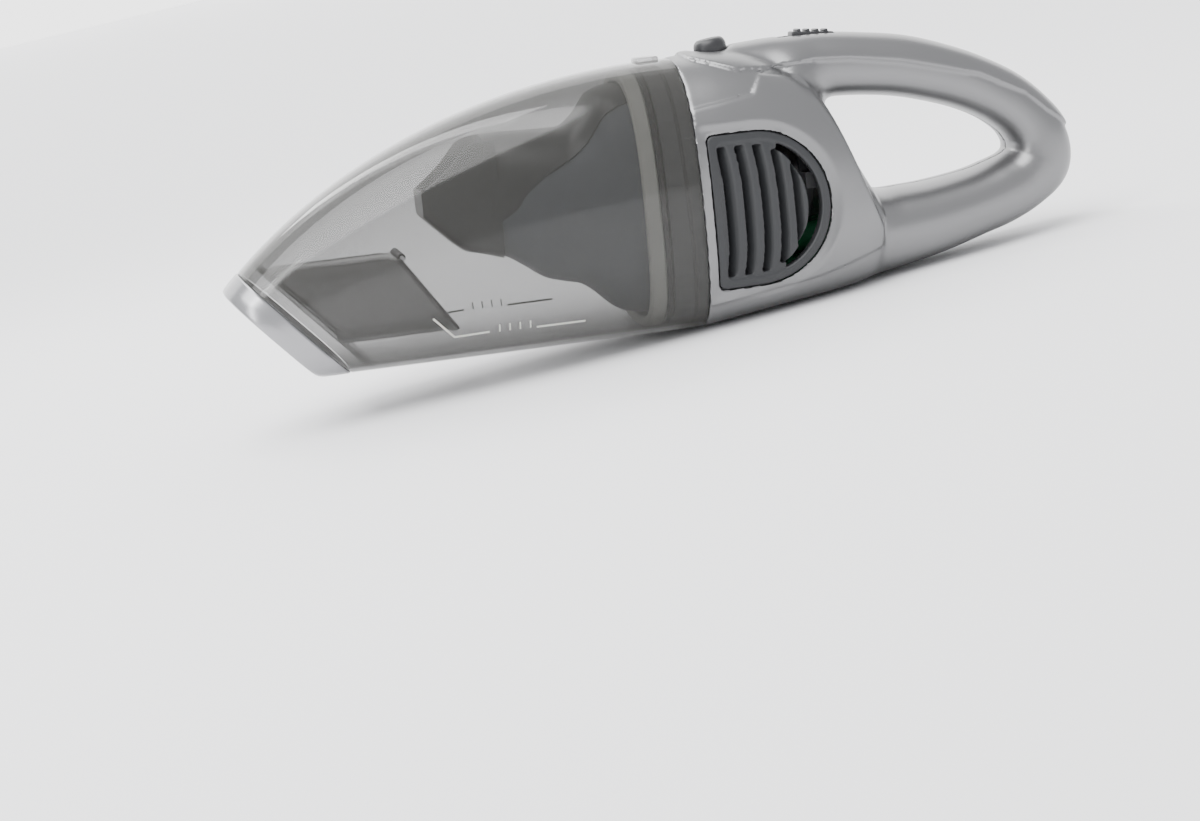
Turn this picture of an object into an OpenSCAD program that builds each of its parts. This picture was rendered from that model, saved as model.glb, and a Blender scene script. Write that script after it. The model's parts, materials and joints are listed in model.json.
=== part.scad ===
// Cordless hand vacuum: clear dust tank with an oblique nozzle in front, motor housing with
// side vents behind it, and a loop handle. +Z is up, the nose points along -X, the handle
// along +X, and the belly of the housing stands on z = 0.
// The tank, filter, fan and motor share a second frame, the intake frame. Its origin is the
// foot of the tank joint, its X axis runs back along the motor, and it is pitched nose up.

/* [Housing] */
// Widest point of the housing and tank
body_w = 102; // [90:1:130]
// Height of the tank joint, measured along its own plane
joint_h = 134; // [120:1:150]
// Wall of the two housing shells
shell_t = 2.4; // [2:0.1:3]
// Nose-up pitch of the intake frame against the belly, in degrees
pitch = 7.5; // [5:0.5:10]
// Foot of the tank joint, along X
joint_x = 5; // [0:1:10]
// Distance from the tank joint foot to the tail of the handle
tail_len = 214; // [205:1:235]
// Half width of the grip
grip_w = 18; // [14:1:22]
// Half height of the grip
grip_t = 14; // [12:0.5:16]
// Half width of the lower bar where it leaves the motor pod
bar_w = 34; // [26:1:38]

/* [Vents] */
// Height of each vent grille
vent_h = 76; // [60:1:84]
// Length of each vent grille along the intake frame
vent_l = 61; // [45:1:64]
// Width of one vent slot
slot_w = 5; // [3:0.5:6]
// Spacing of the vent slots
slot_pitch = 9.3; // [8:0.1:12]

/* [Tank] */
// Length of the tank along its floor, from the joint to the nozzle
tank_floor = 174; // [160:1:190]
// Wall of the tank
tank_t = 2.2; // [1.6:0.1:3]
// Angle of the nozzle plane to the tank floor, in degrees
mouth_angle = 48; // [40:1:60]
// Depth of the silver nozzle rim, square to its plane
rim_depth = 12.5; // [8:0.5:16]
// Half width of the tank at the nozzle rim
nose_w = 34; // [26:1:40]
// Inside width of the inlet duct
duct_w = 40; // [28:1:44]
// Inside height of the inlet duct
duct_h = 34; // [24:1:36]
// Wall of the inlet duct
duct_t = 1.8; // [1.4:0.1:2.4]

/* [Filter] */
// Length of the filter cone in front of its flange
cone_len = 76; // [60:1:84]
// Half width of the filter cone at its flange
cone_w = 37; // [28:1:40]
// Length of the scoop in front of the cone
scoop_len = 34; // [20:1:36]

/* [Drive] */
// Diameter of the motor can
motor_d = 36; // [28:1:38]
// Length of the motor can
motor_l = 50; // [40:1:52]
// Diameter of the motor shaft
shaft_d = 3.2; // [2:0.1:5]
// Diameter of the fan
fan_d = 76; // [60:1:80]
// Height of the motor axis above the tank floor plane
motor_z = 68; // [64:1:72]
// Diameter of one battery cell
cell_d = 14.2; // [13:0.1:14.5]
// Length of one battery cell
cell_l = 50; // [44:1:50.5]

/* [Controls] */
// Diameter of the tank release button
button_d = 16.5; // [12:0.5:18]
// Length of the power slider pad
slider_l = 22; // [18:1:24]
// Width of the power slider pad
slider_w = 9; // [7:0.5:11]
// Travel of the power slider
slider_travel = 6; // [4:0.5:7]

/* [Charging] */
// Bore of the charging socket
jack_bore = 5.6; // [5:0.1:6.4]
// Height of the charging socket above the belly
jack_z = 42; // [38:1:46]

/* [Fits] */
// Gap around a loose or sliding piece
gap = 0.4; // [0.3:0.05:0.6]
// Radial clearance of a pin or shaft in its bore
pin_gap = 0.05; // [0.02:0.01:0.1]

/* [Hidden] */
$fn = 48;
EPS = 0.1;
SECTION_N = 40;

half_w = body_w / 2;

// ---------- curves and sections ----------
function lerp(a, b, t) = a + (b - a) * t;
function bez(p, t) =
    p[0] * pow(1 - t, 3) + 3 * p[1] * pow(1 - t, 2) * t + 3 * p[2] * (1 - t) * t * t + p[3] * t * t * t;
function spow(v, e) = sign(v) * pow(abs(v), e);

// A rounded section: half width w, height h above its foot, widest at share m of the height
TOP_N = 2.5;
LOW_N = 3.2;
function section(w, h, m) = [for (i = [0 : SECTION_N - 1])
    let (a = 360 * i / SECTION_N, n = sin(a) < 0 ? LOW_N : TOP_N, r = sin(a) < 0 ? m * h : (1 - m) * h)
    [w * spow(cos(a), 2 / n), m * h + r * spow(sin(a), 2 / n)]];

// A station is [foot x, foot z, top x, top z, half width, widest share]; its section stands
// on the line from foot to top
function station_points(s, inset) =
    let (dx = s[2] - s[0], dz = s[3] - s[1], h = norm([dx, dz]), ux = dx / h, uz = dz / h)
    [for (q = section(s[4] - inset, h - 2 * inset, s[5]))
        [s[0] + ux * (q[1] + inset), q[0], s[1] + uz * (q[1] + inset)]];

// Side faces between two rings of a grid whose rings have n points each
function ring_faces(a, b, n, flip) = [for (i = [0 : n - 1])
    let (j = (i + 1) % n, p = a * n + i, q = a * n + j, r = b * n + j, t = b * n + i)
    each flip ? [[r, q, p], [t, r, p]] : [[p, q, r], [p, r, t]]];

// One closed solid through a list of rings
module through_rings(rings) {
    n = len(rings[0]);
    m = len(rings) - 1;
    first = [for (i = [1 : n - 2]) [0, i, i + 1]];
    last = [for (i = [1 : n - 2]) [m * n, m * n + i + 1, m * n + i]];
    polyhedron([for (r = rings) each r],
        concat([for (i = [0 : m - 1]) each ring_faces(i, i + 1, n, true)], first, last));
}
module loft(stations, inset) {
    through_rings([for (s = stations) station_points(s, inset)]);
}
// The hollow inside a loft: it runs out at the front, and a wall closes it at the rear
module loft_hollow(stations, wall) {
    last = len(stations) - 1;
    through_rings(concat([[for (q = station_points(stations[0], wall)) q - [1, 0, 0]]],
        [for (i = [0 : last]) station_points(i < last ? stations[i]
            : stations[i] - [wall, 0, wall, 0, 0, 0], wall)]));
}

// ---------- the intake frame ----------
module intake_frame() {
    translate([joint_x, 0, 0])
        rotate([0, pitch, 0])
            children();
}
function to_row(p) = [joint_x + p[0] * cos(pitch) + p[1] * sin(pitch), p[1] * cos(pitch) - p[0] * sin(pitch)];

// ---------- housing outline ----------
joint_top = to_row([0, joint_h]);
tail_x = joint_x + tail_len;
belly_z = -0.6;
POD = [
    [joint_x - 4, belly_z, joint_top[0] - 4, joint_top[1] + 0.3, half_w, 0.43],
    [30, belly_z, 40, 131, half_w, 0.43],
    [56, belly_z, 56, 127, half_w - 1.5, 0.44],
    [80, belly_z, 71, 120, half_w - 5, 0.45],
    [98, belly_z + 2, 81, 112, half_w - 9, 0.47],
    [108, 9, 86, 106, half_w - 12, 0.5]];

// The handle loop: [centre x, centre z, half height, half width], from the pod over the grip,
// round the tail and back along the lower bar, then up the web behind the pod
tail_shift = tail_x - 219;
LOOP = [
    [8, 119, 15.2, grip_w - 2],
    [40, 117.6, 15.4, grip_w - 1],
    [76, 114, grip_t + 2, grip_w],
    [100, 110, grip_t + 1.5, grip_w],
    [121, 106, grip_t + 0.5, grip_w],
    [141, 99.5, grip_t + 0.5, grip_w],
    [162, 89.5, grip_t, grip_w],
    [177 + tail_shift * 0.6, 81, grip_t - 0.5, grip_w],
    [189 + tail_shift, 71, grip_t - 0.3, grip_w + 1],
    [198 + tail_shift, 60, grip_t, grip_w + 2],
    [203 + tail_shift, 48, grip_t + 1.5, grip_w + 3],
    [201 + tail_shift, 36, grip_t + 3, grip_w + 3.5],
    [191 + tail_shift, 29, grip_t + 2.5, grip_w + 4],
    [177 + tail_shift * 0.6, 25.2, grip_t + 3, lerp(grip_w + 4, bar_w, 0.3)],
    [162, 23.2, 17.2, lerp(grip_w + 4, bar_w, 0.5)],
    [139, 21.6, 19.2, lerp(grip_w + 4, bar_w, 0.8)],
    [115, 21.8, 20.8, bar_w],
    [90, 21.2, 23.4, bar_w + 4]];
WEB = [
    [92, 104, 13, bar_w - 4],
    [94, 84, 13, bar_w],
    [98, 62, 13, bar_w + 1],
    [103, 42, 14, bar_w - 1],
    [106, 28, 14, bar_w - 6]];

// The ring of points of the handle at station i, square to the loop
BEAD_N = 24;
BEAD_POWER = 2.4;
function bead_points(list, i, inset) =
    let (a = list[max(i - 1, 0)], b = list[min(i + 1, len(list) - 1)], s = list[i],
         run = norm([b[0] - a[0], b[1] - a[1]]), nx = -(b[1] - a[1]) / run, nz = (b[0] - a[0]) / run)
    [for (k = [0 : BEAD_N - 1]) let (q = 360 * k / BEAD_N,
                                    t = (s[2] - inset) * spow(sin(q), 2 / BEAD_POWER))
        [s[0] + nx * t, (s[3] - inset) * spow(cos(q), 2 / BEAD_POWER), s[1] + nz * t]];
module chain(list, inset) {
    through_rings([for (i = [0 : len(list) - 1]) bead_points(list, i, inset)]);
}
module body_solid() {
    loft(POD, 0);
    chain(LOOP, 0);
    chain(WEB, 0);
}
module body_hollow(wall) {
    loft_hollow(POD, wall);
    chain(LOOP, wall);
    chain(WEB, wall);
}

// ---------- controls frame on the roof of the handle ----------
roof_x = 95;
roof_z = 126.6;
roof_slope = 13;
module roof_frame() {
    translate([roof_x, 0, roof_z])
        rotate([0, roof_slope, 0])
            children();
}
slot_l = slider_l + slider_travel + gap;
button_x = 46;
button_top = 138;
lamp_x = 125;
lamp_r = 1.5;
jack_r = jack_bore / 2 + 1.8;
jack_face = tail_x;

// ---------- vent outline, in the intake frame ----------
vent_x = 5.5;
vent_z = 21;
module vent_outline(inset) {
    r = vent_h / 2 - inset;
    corner = 3;
    translate([vent_x, vent_z + vent_h / 2])
        hull() {
            intersection() {
                translate([vent_l - vent_h / 2, 0])
                    circle(r = r);
                translate([max(inset, vent_l - vent_h / 2), -r])
                    square([vent_l, 2 * r]);
            }
            for (side = [-1, 1])
                translate([inset + corner, side * (r - corner)])
                    circle(r = corner, $fn = 24);
        }
}
module vent_cutter(inset) {
    intake_frame()
        translate([0, -EPS, 0])
            rotate([90, 0, 0])
                linear_extrude(height = body_w)
                    vent_outline(inset);
}

// ---------- screws that close the two shells ----------
SCREWS = [[20, 14], [38, 113.5], [150, 94.5], [165, 22], [204, 57]];
screw_r = 1.5;
head_r = 2.8;
head_h = 2;
boss_r = 3.6;
boss_y = 8;
module screw_bosses() {
    for (s = SCREWS)
        translate([s[0], 0, s[1]])
            rotate([90, 0, 0])
                difference() {
                    hull() {
                        cylinder(r = boss_r, h = EPS, $fn = 24);
                        translate([0, 0, body_w])
                            cylinder(r = boss_r + 0.5, h = EPS, $fn = 24);
                    }
                    translate([0, 0, -EPS])
                        cylinder(r = screw_r + gap / 2, h = boss_y + 2, $fn = 24);
                }
}

// ---------- shells ----------
module shell_half() {
    difference() {
        intersection() {
            union() {
                difference() {
                    body_solid();
                    body_hollow(shell_t);
                }
                intersection() {
                    body_hollow(shell_t / 2);
                    screw_bosses();
                }
            }
            translate([-50, -body_w, 0])
                cube([400, body_w, 200]);
        }
        vent_cutter(0);
        translate([button_x, 0, 120])
            cylinder(r = button_d / 2 + gap, h = 30);
        roof_frame()
            hull()
                for (side = [-1, 1])
                    translate([side * (slot_l / 2 - 1), 0, 4])
                        cube([2 * gap + 2, slider_w + 2 * gap, 20], center = true);
        translate([lamp_x, 0, 100])
            cylinder(r = lamp_r + gap / 2, h = 40);
        translate([tail_x - 20, 0, jack_z])
            rotate([0, 90, 0])
                hull() {
                    cylinder(r = jack_r + gap / 2, h = EPS);
                    translate([0, 0, 40])
                        cylinder(r = jack_r + gap, h = EPS);
                }
        intake_frame()
            translate([-60, -body_w, -20])
                cube([60, 2 * body_w, 200]);
    }
}
module left_shell() {
    color("silver")
        shell_half();
}
module right_shell() {
    color("silver")
        difference() {
            mirror([0, 1, 0])
                shell_half();
            for (s = SCREWS)
                translate([s[0], boss_y, s[1]])
                    rotate([-90, 0, 0])
                        hull() {
                            cylinder(r = head_r + gap / 2, h = EPS, $fn = 24);
                            translate([0, 0, body_w])
                                cylinder(r = head_r + gap, h = EPS, $fn = 24);
                        }
        }
}

// ---------- vent grilles ----------
grille_sink = 0.7;
grille_t = 3.2;
frame_w = 4;
frame_step = 0.8;
slots = 6;
// Half height of a vent slot at distance x from the front edge, inside the frame
function slot_half(x) = let (r = vent_h / 2 - frame_w - 1.5, past = max(0, x - (vent_l - vent_h / 2)))
    sqrt(max(pow(r, 2) - pow(past, 2), pow(slot_w / 2 + 2, 2)));
module vent_grille(side) {
    mirror([0, side > 0 ? 1 : 0, 0])
        difference() {
            intersection() {
                difference() {
                    loft(POD, grille_sink);
                    loft(POD, grille_sink + grille_t);
                }
                vent_cutter(gap / 2);
            }
            difference() {
                vent_cutter(frame_w);
                loft(POD, grille_sink + frame_step);
            }
            intake_frame()
                for (i = [0 : slots - 1])
                    let (x = 7 + i * slot_pitch, half = slot_half(x + slot_w) - slot_w / 2)
                        translate([vent_x + x + slot_w / 2, 0, vent_z + vent_h / 2])
                            rotate([90, 0, 0])
                                linear_extrude(height = body_w)
                                    hull()
                                        for (k = [-1, 1])
                                            translate([0, k * half])
                                                circle(r = slot_w / 2, $fn = 16);
        }
}
module left_vent_grille() {
    color("dimgray")
        vent_grille(-1);
}
module right_vent_grille() {
    color("dimgray")
        vent_grille(1);
}

// ---------- front bulkhead with the spigot that the tank slides over ----------
spigot_l = 16;
lever_w = 10;
module joint_plate(inset, x0, x1) {
    translate([x0, 0, inset])
        rotate([90, 0, 90])
            linear_extrude(height = x1 - x0)
                polygon(section(half_w - inset, joint_h - 2 * inset, 0.43));
}
module front_bulkhead() {
    color("dimgray")
        intake_frame()
            difference() {
                union() {
                    joint_plate(shell_t + gap, 0.6, 3.6);
                    joint_plate(tank_t + gap + 0.4, -spigot_l, 0.7);
                }
                joint_plate(tank_t + gap + 2.4, -spigot_l - 1, 0.6);
                translate([0, 0, motor_z])
                    rotate([0, 90, 0])
                        cylinder(r = 17, h = 20);
                translate([-20, -lever_w / 2 - 1, joint_h - 20])
                    cube([40, lever_w + 2, 40]);
            }
}

// ---------- fan and motor, on the motor axis ----------
fan_r = fan_d / 2;
housing_x0 = 4.4;
housing_x1 = 24.4;
motor_x0 = 27.4;
motor_r = motor_d / 2;
module on_motor_axis(x) {
    intake_frame()
        translate([x, 0, motor_z])
            rotate([0, 90, 0])
                children();
}
module fan_housing() {
    depth = housing_x1 - housing_x0;
    color("gray")
        on_motor_axis(housing_x0)
            difference() {
                cylinder(r = fan_r + 4.5, h = depth);
                translate([0, 0, 2])
                    cylinder(r = fan_r + 2.5, h = depth - 4);
                translate([0, 0, -1])
                    cylinder(r = 15, h = 4);
                translate([0, 0, depth - 3])
                    cylinder(r = 8, h = 4);
                for (k = [0 : 5])
                    rotate([0, 0, 60 * k + 30])
                        translate([fan_r, -7, 5])
                            cube([20, 14, depth - 10]);
            }
}
module fan_impeller() {
    color("lightgray")
        on_motor_axis(8.4)
            difference() {
                union() {
                    difference() {
                        cylinder(r = fan_r, h = 1.4);
                        translate([0, 0, -1])
                            cylinder(r = 13, h = 4);
                    }
                    translate([0, 0, 9.6])
                        cylinder(r = fan_r, h = 1.6);
                    cylinder(r = 6, h = 11);
                    for (k = [0 : 8])
                        rotate([0, 0, 40 * k])
                            translate([11, -0.6, 1])
                                rotate([0, 0, 25])
                                    cube([fan_r - 14, 1.2, 9]);
                }
                translate([0, 0, -1])
                    cylinder(r = shaft_d / 2 + 0.02, h = 20);
            }
}
shaft_x0 = 7;
shaft_in_can = 14;
module motor_shaft() {
    color("gainsboro")
        on_motor_axis(shaft_x0)
            cylinder(r = shaft_d / 2, h = motor_x0 - shaft_x0 + shaft_in_can);
}
module motor_can() {
    color("silver")
        on_motor_axis(motor_x0)
            difference() {
                union() {
                    cylinder(r = motor_r, h = motor_l);
                    translate([0, 0, -2.4])
                        cylinder(r = 6.5, h = 3);
                    translate([0, 0, motor_l - 1])
                        cylinder(r = 6, h = 3);
                }
                translate([0, 0, -3])
                    cylinder(r = shaft_d / 2 + pin_gap, h = shaft_in_can + 4);
            }
}
module motor_boot() {
    color("black")
        on_motor_axis(motor_x0)
            difference() {
                cylinder(r = motor_r + 3, h = 9);
                translate([0, 0, -1])
                    cylinder(r = motor_r + 0.1, h = 12);
            }
}
module motor_cradle() {
    color("gray")
        on_motor_axis(motor_x0 + motor_l * 0.62)
            difference() {
                union() {
                    cylinder(r = motor_r + 4, h = 6);
                    translate([-4, -motor_r - 12, 0])
                        cube([8, 2 * motor_r + 24, 6]);
                }
                translate([0, 0, -1])
                    cylinder(r = motor_r + 0.1, h = 8);
            }
}

// ---------- battery ----------
cell_x0 = 52;
cell_z0 = 7.6;
module battery_cells() {
    color("seagreen")
        for (long = [0, 1], side = [-1, 1], layer = [0, 1])
            translate([cell_x0 + long * (cell_l + 1), side * (cell_d / 2 + 0.2),
                       cell_z0 + cell_d / 2 + layer * (cell_d + 0.4)])
                rotate([0, 90, 0])
                    cylinder(r = cell_d / 2, h = cell_l);
}
module cell_links() {
    color("lightgray")
        for (x = [cell_x0 - 0.7, cell_x0 + 2 * cell_l + 1.1], side = [-1, 1])
            translate([x, side * (cell_d / 2 + 0.2) - 3, cell_z0 + cell_d / 2 - 2])
                cube([0.5, 6, cell_d + 4]);
}

// ---------- charging ----------
module charge_board() {
    color("darkgreen")
        union() {
            translate([173, -11, 21])
                cube([16, 22, 1.6]);
            translate([175, -7, 22])
                cube([6, 5, 5]);
            translate([182, 1, 22])
                cube([5, 7, 3]);
        }
}
jack_l = 17;
module charge_socket() {
    color("black")
        translate([jack_face, 0, jack_z])
            rotate([0, -90, 0])
                difference() {
                    cylinder(r = jack_r, h = jack_l);
                    translate([0, 0, -1])
                        cylinder(r = jack_bore / 2, h = 11);
                }
}
module charge_lamp() {
    color("firebrick")
        translate([lamp_x, 0, 0])
            union() {
                translate([0, 0, 109])
                    cylinder(r = lamp_r, h = 10.4);
                translate([0, 0, 104])
                    cylinder(r = lamp_r + 1, h = 5.5);
            }
}

// ---------- power slider ----------
module switch_body() {
    color("black")
        roof_frame()
            translate([-4, -5, -14])
                cube([18, 10, 8]);
}
module power_slider() {
    color("dimgray")
        roof_frame()
            translate([slot_l / 2 - slider_l, -slider_w / 2, 0])
                union() {
                    translate([0, 0, -5])
                        cube([slider_l, slider_w, 6.4]);
                    for (k = [0 : 3])
                        translate([3 + k * (slider_l - 6) / 3.4, 0, 1])
                            rotate([0, -20, 0])
                                cube([1.6, slider_w, 1.8]);
                }
}

// ---------- tank release ----------
lever_top = 125.5;
hook_x = 14;
pivot = [80, 119];
pin_r = 1.5;
shelf_z = 110.5;
spring_x = 57;
module release_button() {
    dome_r = 14;
    color("dimgray")
        translate([button_x, 0, 0])
            union() {
                translate([0, 0, 127.6])
                    intersection() {
                        cylinder(r = button_d / 2, h = button_top - 127.6);
                        translate([0, 0, button_top - 127.6 - dome_r])
                            sphere(r = dome_r);
                    }
                translate([0, 0, 126])
                    cylinder(r = 3, h = 2);
            }
}
module latch_lever() {
    color("gray")
        difference() {
            union() {
                translate([hook_x, -lever_w / 2, lever_top - 4])
                    cube([pivot[0] - hook_x, lever_w, 4]);
                translate([hook_x, -lever_w / 2, lever_top - 4])
                    cube([5, lever_w, 9]);
                translate([pivot[0], lever_w / 2, pivot[1]])
                    rotate([90, 0, 0])
                        cylinder(r = 5, h = lever_w);
            }
            translate([pivot[0], lever_w, pivot[1]])
                rotate([90, 0, 0])
                    cylinder(r = pin_r + pin_gap, h = 2 * lever_w);
        }
}
module latch_pin() {
    color("gainsboro")
        translate([pivot[0], lever_w / 2 + 3.5, pivot[1]])
            rotate([90, 0, 0])
                cylinder(r = pin_r, h = lever_w + 7);
}
module latch_frame() {
    color("gray")
        difference() {
            union() {
                translate([spring_x - 6, -lever_w / 2 - 3.4, shelf_z - 2.4])
                    cube([pivot[0] + 5 - spring_x + 6, lever_w + 6.8, 2.4]);
                for (side = [-1, 1])
                    translate([pivot[0] - 5, side * (lever_w / 2 + 1.9) - 1.5, shelf_z - 1])
                        cube([10, 3, pivot[1] - shelf_z + 6]);
            }
            translate([pivot[0], lever_w, pivot[1]])
                rotate([90, 0, 0])
                    cylinder(r = pin_r + pin_gap, h = 2 * lever_w);
        }
}
spring_h = lever_top - 4 - shelf_z - 0.2;
module button_spring() {
    wire = 0.45;
    coil = 3.2;
    turns = 5;
    rings = 60;
    sides = 6;
    pts = [for (i = [0 : rings]) let (a = 360 * turns * i / rings,
                                     z = shelf_z + wire + 0.05 + (spring_h - 2 * wire) * i / rings)
        each [for (k = [0 : sides - 1]) let (b = 360 * k / sides)
            [spring_x + (coil + wire * cos(b)) * cos(a), (coil + wire * cos(b)) * sin(a), z + wire * sin(b)]]];
    color("gainsboro")
        polyhedron(pts, concat([[for (k = [sides - 1 : -1 : 0]) k]],
            [for (i = [0 : rings - 1]) each ring_faces(i, i + 1, sides, false)],
            [[for (k = [0 : sides - 1]) rings * sides + k]]));
}
module shell_screws() {
    color("gainsboro")
        for (s = SCREWS)
            translate([s[0], -boss_y - 1, s[1]])
                rotate([-90, 0, 0])
                    union() {
                        cylinder(r = screw_r, h = 2 * boss_y + 1.1);
                        translate([0, 0, 2 * boss_y + 1])
                            difference() {
                                cylinder(r = head_r, h = head_h);
                                for (turn = [0, 90])
                                    rotate([0, 0, turn])
                                        translate([-1.6, -0.35, head_h - 1])
                                            cube([3.2, 0.7, 2]);
                            }
                    }
}

// ---------- tank loft ----------
TANK_TOP = [[0, joint_h], [0.546 * tank_floor, joint_h + 1],
            [1.092 * tank_floor, 0.73 * joint_h], [1.408 * tank_floor, 0.224 * joint_h]];
// Where the top curve meets the nozzle plane that stands on the floor at foot
function meet(foot, lo = 0.5, hi = 1, n = 20) =
    n == 0 ? lo : let (t = (lo + hi) / 2, q = bez(TANK_TOP, t))
        q[0] - q[1] / tan(mouth_angle) < foot ? meet(foot, t, hi, n - 1) : meet(foot, lo, t, n - 1);
t_rim = meet(tank_floor);
lip_foot = tank_floor + rim_depth / sin(mouth_angle);
t_lip = meet(lip_foot);
function tank_w(t) = bez([[0, half_w], [0, half_w + 1.5], [0, half_w - 5], [0, nose_w - 6]], t)[1];
function tank_share(t) = lerp(0.43, 0.38, t);
function tank_station(foot, t) = let (q = bez(TANK_TOP, t)) [-foot, 0, -q[0], q[1], tank_w(t), tank_share(t)];
TANK_STEPS = 12;
TANK = [for (i = [0 : TANK_STEPS]) let (s = i / TANK_STEPS) tank_station(tank_floor * s, t_rim * s)];
RIM = [tank_station(tank_floor + 0.15, meet(tank_floor + 0.15)), tank_station(lip_foot, t_lip)];

// A closed wall between two lofts with the same stations, open at both ends
module loft_wall(stations, outer, inner) {
    n = SECTION_N;
    m = len(stations);
    pts = [for (s = stations) each station_points(s, outer)];
    ins = [for (s = stations) each station_points(s, inner)];
    polyhedron(concat(pts, ins), concat(
        [for (i = [0 : m - 2]) each ring_faces(i, i + 1, n, false)],
        [for (i = [0 : m - 2]) each ring_faces(m + i, m + i + 1, n, true)],
        ring_faces(0, m, n, true),
        ring_faces(m - 1, 2 * m - 1, n, false)));
}
module dust_tank() {
    color("gray", 0.5)
        intake_frame()
            union() {
                loft_wall(TANK, 0, tank_t);
                translate([-16, -7, joint_h - 1.2])
                    cube([11, 14, 3.2]);
            }
}
module nozzle_rim() {
    color("silver")
        intake_frame()
            loft_wall(RIM, -0.1, tank_t + 0.6);
}

// ---------- inlet duct and its flap ----------
duct_z = 15;
duct_top = duct_z + duct_h + 2 * duct_t;
duct_low_x = -121;
duct_top_x = -146;
flap_x = duct_top_x + 2;
flap_z = duct_top + 0.6;
flap_pin_r = 1;
duct_back = 12;
function plane_x(z) = -(tank_floor + z / tan(mouth_angle));
// The plate that carries the duct stands across the tank, parallel to the nozzle plane
function plate_ring(back) = station_points(tank_station(tank_floor - back, meet(tank_floor - back)), tank_t + 0.6);
module duct_side(inset, front, rear) {
    rotate([90, 0, 0])
        linear_extrude(height = duct_w + 2 * duct_t - 2 * inset, center = true)
            polygon([[plane_x(duct_z + inset) + front, duct_z + inset],
                     [duct_low_x + rear, duct_z + inset],
                     [duct_top_x + rear, duct_top - inset],
                     [plane_x(duct_top - inset) + front, duct_top - inset]]);
}
module inlet_duct() {
    color("gray", 0.7)
        intake_frame()
            difference() {
                union() {
                    duct_side(0, duct_back, 0);
                    through_rings([plate_ring(duct_back - 2), plate_ring(duct_back + 1)]);
                    for (k = [0 : 4])
                        translate([-170, -duct_w / 2 - duct_t - 0.7, duct_z + 4 + k * 7.5])
                            cube([26, duct_w + 2 * duct_t + 1.4, 1]);
                    for (side = [-1, 1])
                        translate([flap_x - 3, side * (duct_w / 2 - 2.5) - 1.5, duct_top - 1])
                            cube([6, 3, 4]);
                }
                duct_side(duct_t, -5, 5);
                translate([flap_x, 50, flap_z])
                    rotate([90, 0, 0])
                        cylinder(r = flap_pin_r + pin_gap, h = 100);
            }
}
module inlet_flap() {
    run = duct_low_x - duct_top_x;
    drop = duct_top - duct_z;
    lean = atan2(run, drop);
    leaf_l = norm([run, drop]);
    color("black")
        intake_frame()
            difference() {
                union() {
                    translate([duct_top_x + 0.5, -duct_w / 2 - 1, duct_top])
                        rotate([0, -lean, 0])
                            union() {
                                translate([0, 0, -leaf_l])
                                    cube([1.4, duct_w + 2, leaf_l - 2.7]);
                                translate([0.2, 9, -4])
                                    cube([1, duct_w - 16, 3.6]);
                            }
                    translate([flap_x, duct_w / 2 - 5, flap_z])
                        rotate([90, 0, 0])
                            cylinder(r = 1.8, h = duct_w - 10);
                }
                translate([flap_x, 50, flap_z])
                    rotate([90, 0, 0])
                        cylinder(r = flap_pin_r + pin_gap, h = 100);
            }
}
module flap_pin() {
    color("gainsboro")
        intake_frame()
            translate([flap_x, duct_w / 2 + 0.5, flap_z])
                rotate([90, 0, 0])
                    cylinder(r = flap_pin_r, h = duct_w + 1);
}

// ---------- filter ----------
flange_x = -spigot_l - 3.6;
flange_t = 2.4;
seal_l = 8;
cone_x0 = flange_x - 0.2;
cone_x1 = cone_x0 - cone_len;
CONE = [[cone_x1, 48, cone_x1, 98, cone_w * 0.5, 0.5],
        [cone_x0 - 0.5 * cone_len, 34, cone_x0 - 0.5 * cone_len, 107, cone_w * 0.84, 0.5],
        [cone_x0, 22, cone_x0, 119, cone_w, 0.5]];
module filter_frame() {
    color("dimgray")
        intake_frame()
            difference() {
                union() {
                    joint_plate(tank_t + 0.7, flange_x, flange_x + flange_t);
                    translate([cone_x1 - 3, -16, 50])
                        cube([2.9, 32, 50]);
                    rotate([90, 0, 0])
                        linear_extrude(height = 24, center = true)
                            polygon([[flange_x + 1, 119.6], [cone_x1 - 2, 98.6],
                                     [cone_x1 - 2, 101.9], [flange_x + 1, 122.9]]);
                    translate([cone_x1 - scoop_len, -15, 64])
                        cube([scoop_len, 30, 18]);
                }
                translate([cone_x1 - scoop_len + 2, -13, 66])
                    cube([scoop_len - 3, 26, 30]);
                translate([-40, 0, 0])
                    joint_plate(28, -10, 60);
            }
}
module filter_cloth() {
    color("slategray")
        intake_frame()
            difference() {
                loft(CONE, 0);
                translate([1, 0, 0])
                    loft(CONE, 1.6);
            }
}
module filter_seal() {
    color("gainsboro")
        intake_frame()
            difference() {
                joint_plate(tank_t + 1.2, flange_x - seal_l, flange_x - 0.1);
                joint_plate(tank_t + 6, flange_x - seal_l - 1, flange_x + 1);
            }
}

left_shell();
right_shell();
left_vent_grille();
right_vent_grille();
front_bulkhead();
fan_housing();
fan_impeller();
motor_shaft();
motor_can();
motor_boot();
motor_cradle();
battery_cells();
cell_links();
charge_board();
charge_socket();
charge_lamp();
switch_body();
power_slider();
release_button();
button_spring();
latch_lever();
latch_pin();
latch_frame();
shell_screws();
dust_tank();
nozzle_rim();
inlet_duct();
inlet_flap();
flap_pin();
filter_frame();
filter_cloth();
filter_seal();
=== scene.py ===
"""Looks of a cordless hand vacuum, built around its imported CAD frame.

Lengths in the tables are millimetres in the row frame: the nose points along -X, the handle
along +X, and the belly stands on z = 0. The tank, filter and grilles are drawn in the intake
frame, whose origin is the foot of the tank joint and which is pitched nose up.
"""
import json
import math

import bpy
import numpy as np
from mathutils import Matrix, Vector


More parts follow.
